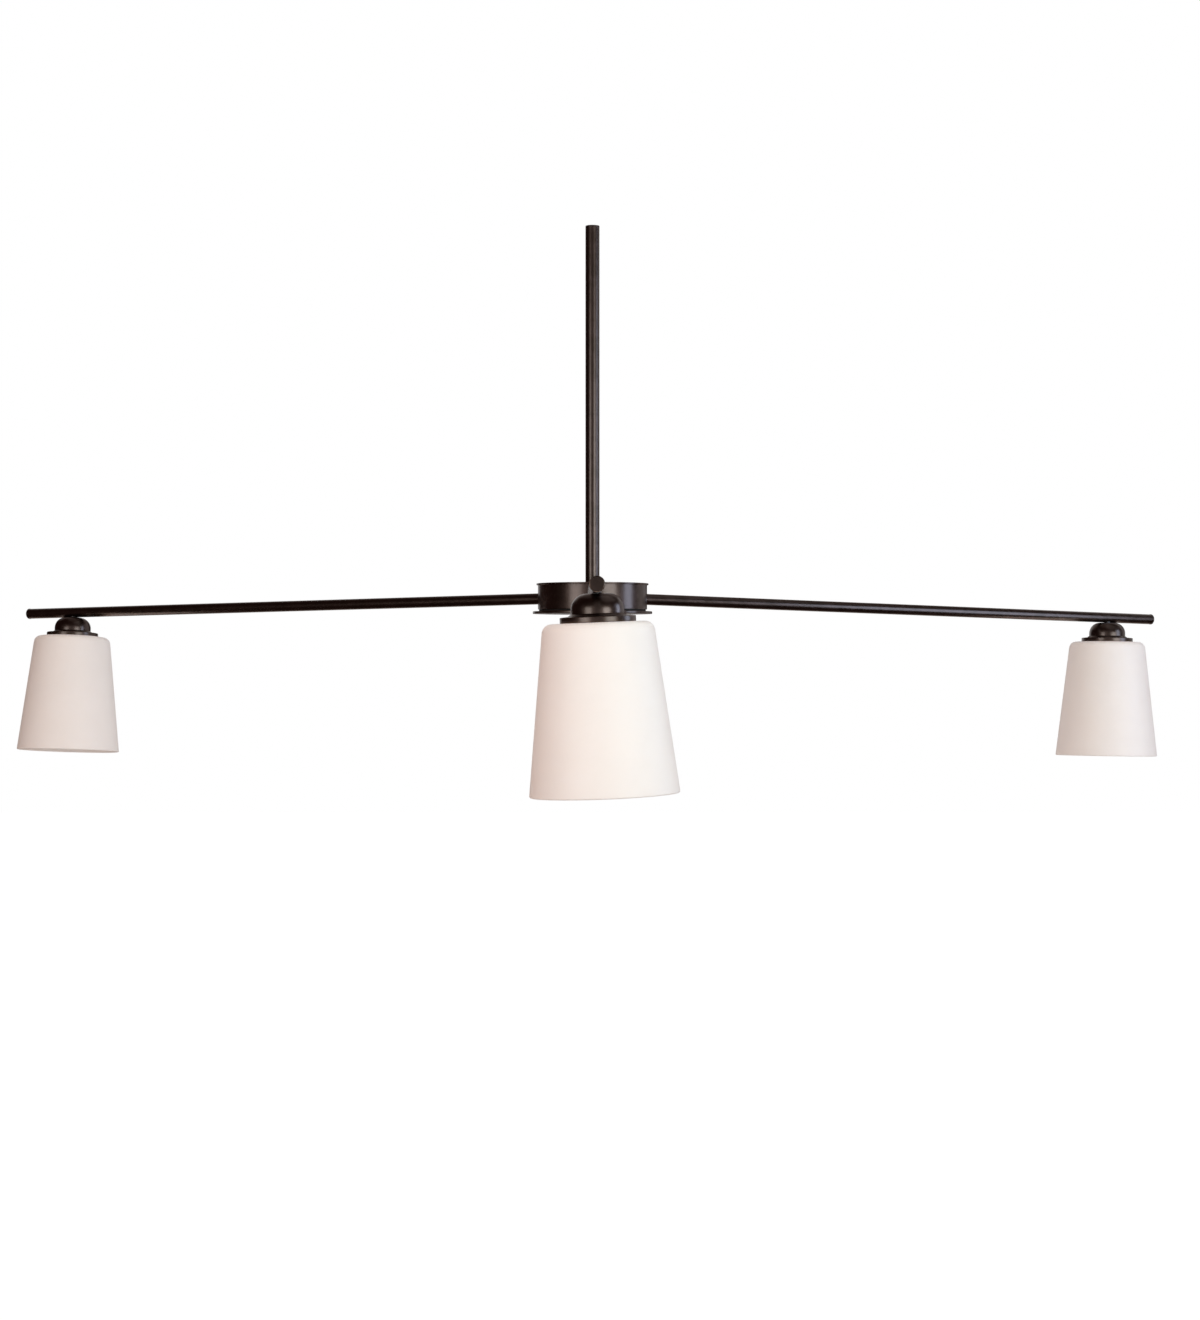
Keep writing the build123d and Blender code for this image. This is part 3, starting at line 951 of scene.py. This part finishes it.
@dataclass
class ArmTube:
    """Arm tube, with the hole under it for the cup's nipple, and its end cap."""

    wall: float = 1.3
    end_round: float = 0.15
    nipple_hole: float = 4.05
    cap_edge: float = 1.0
    cap_lip: float = 0.3
    cap_spigot: float = 6.0
    spigot_gap: float = 0.05
    steps: int = 64

    def build(self) -> None:
        """Turn the tube and the cap once, and copy them to the arms."""
        low, high = extents("arm_tube")
        radius = high.z
        inside = radius - self.wall
        corners = [
            Corner(radius, low.x, self.end_round),
            Corner(radius, high.x, self.end_round),
            Corner(inside, high.x),
            Corner(inside, low.x),
        ]
        tube = turned(corners, self.steps, Spindle.ALONG_ARM)
        drill = drill_rod(self.nipple_hole, -2 * radius, 0.0, Spindle.UPRIGHT)
        drill.location.x = lamp_reach() * MM
        bore(tube, drill)
        hang_copies(tube, "arm_tube", BRONZE)
        self.build_cap(high.x, inside - self.spigot_gap)

    def build_cap(self, seat: float, spigot: float) -> None:
        """Turn the end cap.

        Args:
            seat: Where the tube ends, along the arm.
            spigot: Radius of the part inside the tube.
        """
        _, high = extents("arm_end_cap")
        corners = [
            Corner(0.0, seat - self.cap_spigot),
            Corner(spigot, seat - self.cap_spigot, self.end_round),
            Corner(spigot, seat),
            Corner(high.z + self.cap_lip, seat, self.end_round),
            Corner(high.z + self.cap_lip, high.x, self.cap_edge),
            Corner(0.0, high.x),
        ]
        hang_copies(turned(corners, self.steps, Spindle.ALONG_ARM), "arm_end_cap", BRONZE)


@dataclass
class Lamp:
    """What hangs under an arm about the lamp's own axis: nipple, cup, brim, shade and ring."""

    nipple_bore: float = 2.75
    nipple_pitch: float = 1.0
    nipple_thread: float = 0.4
    cup_hole: float = 4.05
    cup_wall: float = 1.2
    cup_shoulder: float = 13.4
    cup_edge: float = 0.3
    brim_hole: float = 20.0
    brim_seat: float = 22.9
    brim_cove: float = 1.7
    brim_cove_width: float = 2.2
    brim_rim: float = 5.0
    brim_wall: float = 1.5
    brim_edge: float = 0.7
    glass_hole: float = 20.5
    glass_top: float = 46.8
    glass_wall: float = 3.6
    glass_shoulder: float = 8.5
    glass_lip: float = 1.2
    glass_edge: float = 0.5
    ring_gap: float = 0.05
    ring_flange: float = 2.2
    ring_wall: float = 3.4
    ring_ribs: int = 24
    ring_groove: float = 0.8
    ring_edge: float = 0.35
    steps: int = 160
    axis: float = field(default_factory=lamp_reach)

    def sizes(self, node: str) -> tuple[float, float, float]:
        """Radius, base and top of one of the lamp's round nodes, about the lamp's own axis."""
        low, high = extents(node)
        return (high.y - low.y) / 2, low.z, high.z

    def hang(self, piece: bpy.types.Object, node: str, finish: Finish, body: str = "arm") -> None:
        """Copy a piece that is turned about its own Z to each arm, on the lamp's axis."""
        hang_copies(piece, node, finish, body, self.axis)

    def build(self) -> None:
        """Make each piece once, and hang its copies under the arms."""
        self.build_nipple()
        self.build_cup()
        self.build_brim()
        self.build_glass()
        self.build_ring()

    def build_nipple(self) -> None:
        """Turn the nipple between arm and cup, and wind its thread."""
        radius, base, top = self.sizes("cup_nipple")
        root = radius - self.nipple_thread
        corners = [
            Corner(self.nipple_bore, base),
            Corner(root, base, self.cup_edge),
            Corner(root, top, self.cup_edge),
            Corner(self.nipple_bore, top),
        ]
        nipple = turned(corners, self.steps // 4)
        Thread(root, self.nipple_thread, self.nipple_pitch, base, top).wind_on(nipple)
        self.hang(nipple, "cup_nipple", ZINC)

    def build_cup(self) -> None:
        """Turn the flat-topped dome with its deep round shoulder."""
        radius, base, top = self.sizes("cup_dome")
        inside = radius - self.cup_wall
        corners = [
            Corner(self.cup_hole, top),
            Corner(radius, top, self.cup_shoulder),
            Corner(radius, base, self.cup_edge),
            Corner(inside, base, self.cup_edge),
            Corner(inside, top - self.cup_wall, self.cup_shoulder - self.cup_wall),
            Corner(self.cup_hole, top - self.cup_wall),
        ]
        self.hang(turned(corners, self.steps), "cup_dome", BRONZE)

    def build_brim(self) -> None:
        """Turn the brim, with its cove round the dome's foot and its turned-down rim."""
        radius, base, top = self.sizes("brim_plate")
        cove_edge = self.brim_seat + self.brim_cove_width
        cove_base = top - self.brim_cove
        rim_top = base + self.brim_rim
        rim_bore = radius - self.brim_wall
        corners = [
            Corner(self.brim_hole, top),
            Corner(self.brim_seat, top, self.cup_edge),
            Corner(cove_edge, cove_base, self.brim_edge),
            Corner(radius, rim_top, self.brim_edge),
            Corner(radius, base, self.cup_edge),
            Corner(rim_bore, base, self.cup_edge),
            Corner(rim_bore, rim_top - self.brim_wall),
            Corner(cove_edge, cove_base - self.brim_wall),
            Corner(self.brim_hole, cove_base - self.brim_wall),
        ]
        self.hang(turned(corners, self.steps), "brim_plate", BRONZE)

    def build_glass(self) -> None:
        """Turn the tapered shade, with its round shoulder and fire-polished lip."""
        mouth, base, top = self.sizes("glass_shade")
        widening = (mouth - self.glass_top) * self.glass_wall / (top - base)
        corners = [
            Corner(self.glass_hole, top, self.glass_edge),
            Corner(self.glass_top, top, self.glass_shoulder),
            Corner(mouth, base, self.glass_lip),
            Corner(mouth - self.glass_wall, base, self.glass_lip),
            Corner(
                self.glass_top + widening - self.glass_wall,
                top - self.glass_wall,
                self.glass_shoulder - self.glass_wall,
            ),
            Corner(self.glass_hole, top - self.glass_wall, self.glass_edge),
        ]
        self.hang(turned(corners, self.steps), "glass_shade", OPAL)

    def build_ring(self) -> None:
        """Turn the ring that holds the glass up, and sink grip grooves in its collar."""
        radius, base, top = self.sizes("shade_ring")
        inside = extents("lampholder_body")[1].y + self.ring_gap
        collar = inside + self.ring_wall
        flange_base = top - self.ring_flange
        corners = [
            Corner(inside, top),
            Corner(radius, top, self.ring_edge),
            Corner(radius, flange_base, self.ring_edge),
            Corner(collar, flange_base),
            Corner(collar, base, self.ring_edge),
            Corner(inside, base, self.ring_edge),
        ]
        ring = turned(corners, self.ring_ribs * STEPS_PER_RIB)
        sink_grooves(ring, collar, base + self.ring_edge, flange_base, self.ring_ribs, self.ring_groove)
        self.hang(ring, "shade_ring", RING_PHENOLIC)


@dataclass
class Lampholder:
    """Moulded lampholder with its skirt thread, and the brass screw shell inside it."""

    lamp: Lamp
    nipple_hole: float = 4.05
    neck: float = 16.8
    skirt_gap: float = 0.3
    lip_wall: float = 3.4
    recess: float = 8.0
    recess_depth: float = 4.0
    skirt_pitch: float = 2.6
    skirt_thread: float = 0.6
    skirt_lead: float = 0.7
    shell_gap: float = 0.05
    shell_pitch: float = 3.63
    shell_wave: float = 0.25
    shell_lead: float = 0.6
    edge: float = 0.4
    steps: int = 96

    def build(self) -> None:
        """Make the holder and its shell once, and hang their copies under the arms."""
        radius, base, top = self.lamp.sizes("lampholder_body")
        shell_radius, shell_base, shell_top = self.lamp.sizes("lampholder_shell")
        skirt_top = self.lamp.sizes("cup_dome")[1] - self.skirt_gap
        root = radius - self.skirt_thread
        mouth = radius - self.lip_wall
        socket = shell_radius + self.shell_gap
        corners = [
            Corner(self.nipple_hole, top),
            Corner(self.neck, top, self.edge),
            Corner(self.neck, skirt_top),
            Corner(root, skirt_top, self.edge),
            Corner(root, base, self.edge),
            Corner(mouth, base, self.edge),
            Corner(mouth, shell_base, self.edge),
            Corner(socket, shell_base),
            Corner(socket, shell_top),
            Corner(self.recess, shell_top),
            Corner(self.recess, shell_top + self.recess_depth),
            Corner(self.nipple_hole, shell_top + self.recess_depth),
        ]
        holder = turned(corners, self.steps)
        Thread(root, self.skirt_thread, self.skirt_pitch, base, skirt_top, self.skirt_lead).wind_on(holder)
        self.lamp.hang(holder, "lampholder_body", PHENOLIC)
        self.build_shell()

    def build_shell(self) -> None:
        """Turn the screw shell, and wind the rolled thread inside it."""
        radius, base, top = self.lamp.sizes("lampholder_shell")
        root = radius - self.shell_wave
        corners = [Corner(root, base), Corner(radius, base), Corner(radius, top), Corner(root, top)]
        shell = turned(corners, self.steps)
        Thread(root, self.shell_wave, self.shell_pitch, base, top, self.shell_lead).wind_on(shell)
        self.lamp.hang(shell, "lampholder_shell", BRASS)


@dataclass
class Bulb:
    """Bulb: screw cap with its black glass tip, and the frosted globe."""

    lamp: Lamp
    tip_radius: float = 4.8
    tip_height: float = 1.2
    cone_height: float = 4.0
    thread_depth: float = 0.75
    thread_pitch: float = 3.63
    thread_spare: int = 0
    crimp: float = 1.0
    neck_inset: float = 0.15
    neck_length: float = 9.0
    glass_wall: float = 1.0
    flare_round: float = 10.0
    steps: int = 96

    def build(self) -> None:
        """Make the cap and the globe once, and hang their copies in the shades."""
        self.build_cap()
        self.build_globe()

    def build_cap(self) -> None:
        """Turn the cap, paint the cone round its tip as black glass, and wind its thread."""
        radius, base, top = self.lamp.sizes("bulb_cap")
        root = radius - self.thread_depth
        tip_base = top - self.tip_height
        cone_base = tip_base - self.cone_height
        crimp_top = base + 2 * self.crimp
        corners = [
            Corner(0.0, top),
            Corner(self.tip_radius, top, self.crimp / 2),
            Corner(self.tip_radius, tip_base),
            Corner(root, cone_base, self.crimp / 2),
            Corner(root, crimp_top),
            Corner(radius, crimp_top, self.crimp / 2),
            Corner(radius, base),
            Corner(0.0, base),
        ]
        cap = turned(corners, self.steps)
        paint_band(cap, ALUMINIUM, VITRITE, cone_base, tip_base)
        thread = Thread(
            root, self.thread_depth, self.thread_pitch, crimp_top, cone_base, spare=self.thread_spare
        )
        thread.wind_on(cap)
        self.lamp.hang(cap, "bulb_cap", ALUMINIUM, "bulb")

    def build_globe(self) -> None:
        """Turn the globe: a straight neck, a flare and a round bulb, with a thin wall."""
        radius, base, top = self.lamp.sizes("bulb_globe")
        neck = self.lamp.sizes("bulb_cap")[0] - self.neck_inset
        wall = self.glass_wall
        outer = self.wall_points(radius, neck, base, top)
        inner = self.wall_points(radius - wall, neck - wall, base + wall, top)
        self.lamp.hang(turned(outer + inner[::-1], self.steps), "bulb_globe", FROSTED, "bulb")

    def wall_points(self, radius: float, neck: float, base: float, top: float) -> list[Corner]:
        """One side of the globe's wall, from its neck round to the middle of its base.

        Args:
            radius: Radius of the globe.
            neck: Radius of the neck.
            base: Height of the globe's lowest point.
            top: Height of the neck's end.

        Returns:
            Corners of that side.
        """
        middle = base + radius
        flare_top = top - self.neck_length
        rise = flare_top - middle
        touch = math.atan2(rise, neck) - math.acos(radius / math.hypot(neck, rise))
        steps = math.ceil((touch + math.pi / 2) / ROUND_STEP)
        side = []
        for step in range(steps + 1):
            angle = touch - (touch + math.pi / 2) * step / steps
            side.append(Corner(max(0.0, radius * math.cos(angle)), middle + radius * math.sin(angle)))
        return [Corner(neck, top), Corner(neck, flare_top, self.flare_round), *side]


# Studio
@dataclass(frozen=True)
class Softbox:
    """Soft light.

    Attributes:
        name: Name of the light.
        place: Where its middle stands, in metres.
        size: Width and height, in metres.
        glow: Brightness of its face, where 1 is white.
        colour: Colour of its light, as sRGB hex.
        mirrored: Whether shiny surfaces show it.
    """

    name: str
    place: tuple[float, float, float]
    size: tuple[float, float]
    glow: float
    colour: str
    mirrored: bool = True

    def build(self, target: Vector) -> None:
        """Set the light up.

        Args:
            target: Point that it faces.
        """
        width, height = self.size
        light = bpy.data.lights.new(self.name, "AREA")
        light.shape = "RECTANGLE"
        light.size = width
        light.size_y = height
        light.energy = self.glow * math.pi * width * height
        light.color = linear(self.colour)[:3]
        box = bpy.data.objects.new(self.name, light)
        bpy.context.scene.collection.objects.link(box)
        box.location = self.place
        away = Vector(self.place) - target
        box.rotation_euler = away.to_track_quat("Z", "Y").to_euler()
        box.visible_camera = False
        box.visible_glossy = self.mirrored


@dataclass
class Studio:
    """White studio with soft lights, dark drapes that only reflections see, a pale floor and the camera.

    Places and sizes here are in metres, the camera's turn is in degrees and its lens in millimetres.
    """

    ground_colour: str = "#FFFFFF"
    floor_height: float = -3.0
    floor_size: float = 80.0
    floor_colour: str = "#F2F0EC"
    floor_glow: float = 0.8
    fill_colour: str = "#FFDFD2"
    fill: float = 0.38
    drape_colour: str = "#301E1B"
    drape_reach: tuple[float, float, float] = (12.0, 12.0, 2.5)
    drape_segments: int = 48
    camera_place: tuple[float, float, float] = (-0.01313, -2.96077, -0.49088)
    camera_turn: float = -0.419
    camera_lens: float = 71.41
    softboxes: tuple[Softbox, ...] = (
        Softbox("left_softbox", (-3.5, -4.85, -0.6), (2.6, 2.8), 1.85, "#F9FBFB"),
        Softbox("right_softbox", (4.3, -5.85, -0.55), (3.6, 2.9), 2.7, "#F6FEFF"),
        Softbox("cool_softbox", (2.05, -0.38, -0.3), (0.75, 1.3), 2.4, "#CCE1FF"),
        Softbox("front_panel", (-0.2, -3.4, -0.5), (3.6, 3.0), 0.12, "#FFFFFF"),
        Softbox("ceiling_panel", (0.9, -0.5, 1.9), (2.6, 2.6), 0.16, "#FFFFFF"),
        Softbox("top_panel", (0.0, 0.6, 1.7), (2.6, 2.4), 0.08, "#FFF4EC"),
        Softbox("back_softbox", (2.0, 1.6, 0.0), (2.2, 2.2), 0.25, "#FFFFFF"),
        Softbox("rear_softbox", (-0.9, 3.8, 0.3), (2.6, 2.2), 0.4, "#FFFFFF"),
        Softbox("rear_low_panel", (0.0, 2.6, -2.2), (6.0, 1.4), 0.35, "#FFEADC"),
        Softbox("rear_high_panel", (0.0, 2.6, 1.5), (6.0, 1.2), 0.16, "#FFF4EC"),
        Softbox("front_fill", (0.2, -2.0, 0.5), (1.6, 1.2), 1.6, "#E6FFFF", mirrored=False),
        Softbox("side_fill", (1.25, -1.35, 0.2), (1.2, 1.2), 1.1, "#F0FFFF", mirrored=False),
        Softbox("warm_fill", (-0.8, -1.4, 0.2), (1.0, 1.0), 1.1, "#FFC8B4", mirrored=False),
        Softbox("rear_left_fill", (-1.3, 2.2, 0.5), (1.4, 1.2), 2.3, "#E8F8FF", mirrored=False),
        Softbox("rear_right_fill", (1.3, 2.2, 0.5), (1.4, 1.2), 2.3, "#E8F8FF", mirrored=False),
    )

    def build(self) -> None:
        """Set up the light, the ground and the camera."""
        self.build_world()
        self.build_floor()
        middle = (CAD_BOX[0] + CAD_BOX[1]) / 2
        for softbox in self.softboxes:
            softbox.build(middle)
        self.build_drapes(middle)
        self.build_camera()

    def seen_directly(self, tree: bpy.types.NodeTree) -> bpy.types.NodeSocket:
        """Factor that is 1 for rays that show the ground: from the camera, reflected, or through glass.

        Args:
            tree: Node tree that gets the factor's nodes.

        Returns:
            The socket that gives the factor.
        """
        path = add_node(tree, "LightPath").outputs
        shown = path["Is Camera Ray"]
        for ray in ("Is Glossy Ray", "Is Transmission Ray"):
            shown = add_node(tree, "Math", {0: shown, 1: path[ray]}, operation="MAXIMUM").outputs["Value"]
        return shown

    def build_world(self) -> None:
        """Make a world that shows white and lights with a softer fill."""
        world = bpy.data.worlds.new("white_studio")
        bpy.context.scene.world = world
        tree = empty_tree(world)
        white = add_node(tree, "Background", {"Color": linear(self.ground_colour), "Strength": 1.0})
        fill = add_node(tree, "Background", {"Color": linear(self.fill_colour), "Strength": self.fill})
        both = {0: self.seen_directly(tree), 1: fill.outputs[0], 2: white.outputs[0]}
        mixed = add_node(tree, "MixShader", both)
        add_node(tree, "OutputWorld", {"Surface": mixed.outputs[0]})

    def build_floor(self) -> None:
        """Lay the pale floor, which shows white and keeps the object's shadow."""
        bpy.ops.object.select_all(action="DESELECT")
        bpy.ops.mesh.primitive_plane_add(size=self.floor_size, location=(0.0, 0.0, self.floor_height))
        floor = bpy.context.active_object
        floor.name = "studio_floor"
        material = bpy.data.materials.new("pale_floor_paper")
        tree = empty_tree(material)
        paper = add_node(tree, "BsdfDiffuse", {"Color": linear(self.floor_colour)})
        lifted = {0: self.seen_directly(tree), 1: self.floor_glow}
        lift = add_node(tree, "Math", lifted, operation="MULTIPLY")
        glow = add_node(tree, "Emission", {"Strength": lift.outputs[0]})
        both = add_node(tree, "AddShader", {0: paper.outputs[0], 1: glow.outputs[0]})
        add_node(tree, "OutputMaterial", {"Surface": both.outputs[0]})
        floor.data.materials.append(material)

    def build_drapes(self, middle: Vector) -> None:
        """Hang dark drapes round the set, which only reflections see.

        Args:
            middle: Middle of the set.
        """
        material = bpy.data.materials.new("dark_drape")
        tree = empty_tree(material)
        cloth = add_node(tree, "Emission", {"Color": linear(self.drape_colour), "Strength": 1.0})
        add_node(tree, "OutputMaterial", {"Surface": cloth.outputs[0]})
        bpy.ops.object.select_all(action="DESELECT")
        bpy.ops.mesh.primitive_uv_sphere_add(
            segments=self.drape_segments,
            ring_count=self.drape_segments // 2,
            radius=1.0,
            location=middle,
            scale=self.drape_reach,
        )
        drape = bpy.context.active_object
        drape.name = "dark_drapes"
        drape.data.materials.append(material)
        drape.visible_camera = False
        drape.visible_diffuse = False
        drape.visible_transmission = False
        drape.visible_shadow = False

    def build_camera(self) -> None:
        """Set the camera where the photograph was taken from."""
        data = bpy.data.cameras.new("camera")
        data.lens = self.camera_lens
        camera = bpy.data.objects.new("camera", data)
        bpy.context.scene.collection.objects.link(camera)
        camera.location = self.camera_place
        camera.rotation_euler = (math.pi / 2, 0.0, math.radians(self.camera_turn))
        bpy.context.scene.camera = camera


def write_sizes() -> None:
    """Update the view layer."""
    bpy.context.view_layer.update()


def main() -> None:
    """Build and dress the chandelier, then light it."""
    logging.basicConfig(level=logging.INFO, format="%(message)s")
    bpy.context.scene.view_settings.view_transform = "Standard"
    Stem().build()
    Hub().build()
    ArmTube().build()
    lamp = Lamp()
    lamp.build()
    Lampholder(lamp).build()
    Bulb(lamp).build()
    dress_inner_nodes()
    Studio().build()
    write_sizes()


if __name__ == "__main__":
    main()
